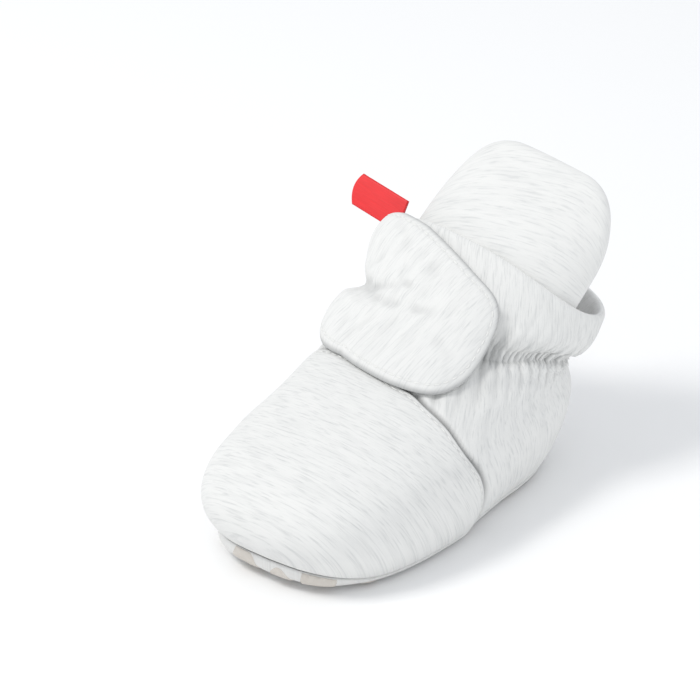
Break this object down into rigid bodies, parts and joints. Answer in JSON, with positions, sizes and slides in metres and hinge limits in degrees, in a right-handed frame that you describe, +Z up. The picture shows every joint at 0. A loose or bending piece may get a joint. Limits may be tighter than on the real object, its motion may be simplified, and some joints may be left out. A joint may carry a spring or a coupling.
{
  "type": "slipper sock",
  "caption": "Soft padded slipper sock for a baby's left foot, with a gathered ankle, flared collar, tall tongue, crossing strap and dotted grip sole.",
  "frame": {"origin": "on the floor under the middle of the sole", "axes": "+Y from the toe to the heel, +X to the outer side of the foot, +Z up out of the sole"},
  "size_m": [0.083, 0.125, 0.0892],
  "materials": {
    "padded_sole": "padded cotton jersey with a printed silicone grip, matt",
    "footbed": "plain cotton lining, matt",
    "padded_jersey": "heather white cotton jersey over thin wadding, matt",
    "tongue_jersey": "heather white cotton jersey over thin wadding, matt",
    "strap_jersey": "heather white cotton jersey over thin wadding, matt",
    "red_ribbon": "plain woven ribbon, slight sheen"
  },
  "bodies": {
    "root": {"sole": "padded_sole", "insole": "footbed", "upper": "padded_jersey", "tongue": "tongue_jersey", "strap": "strap_jersey", "side_tag": "red_ribbon"}
  },
  "joints": []
}
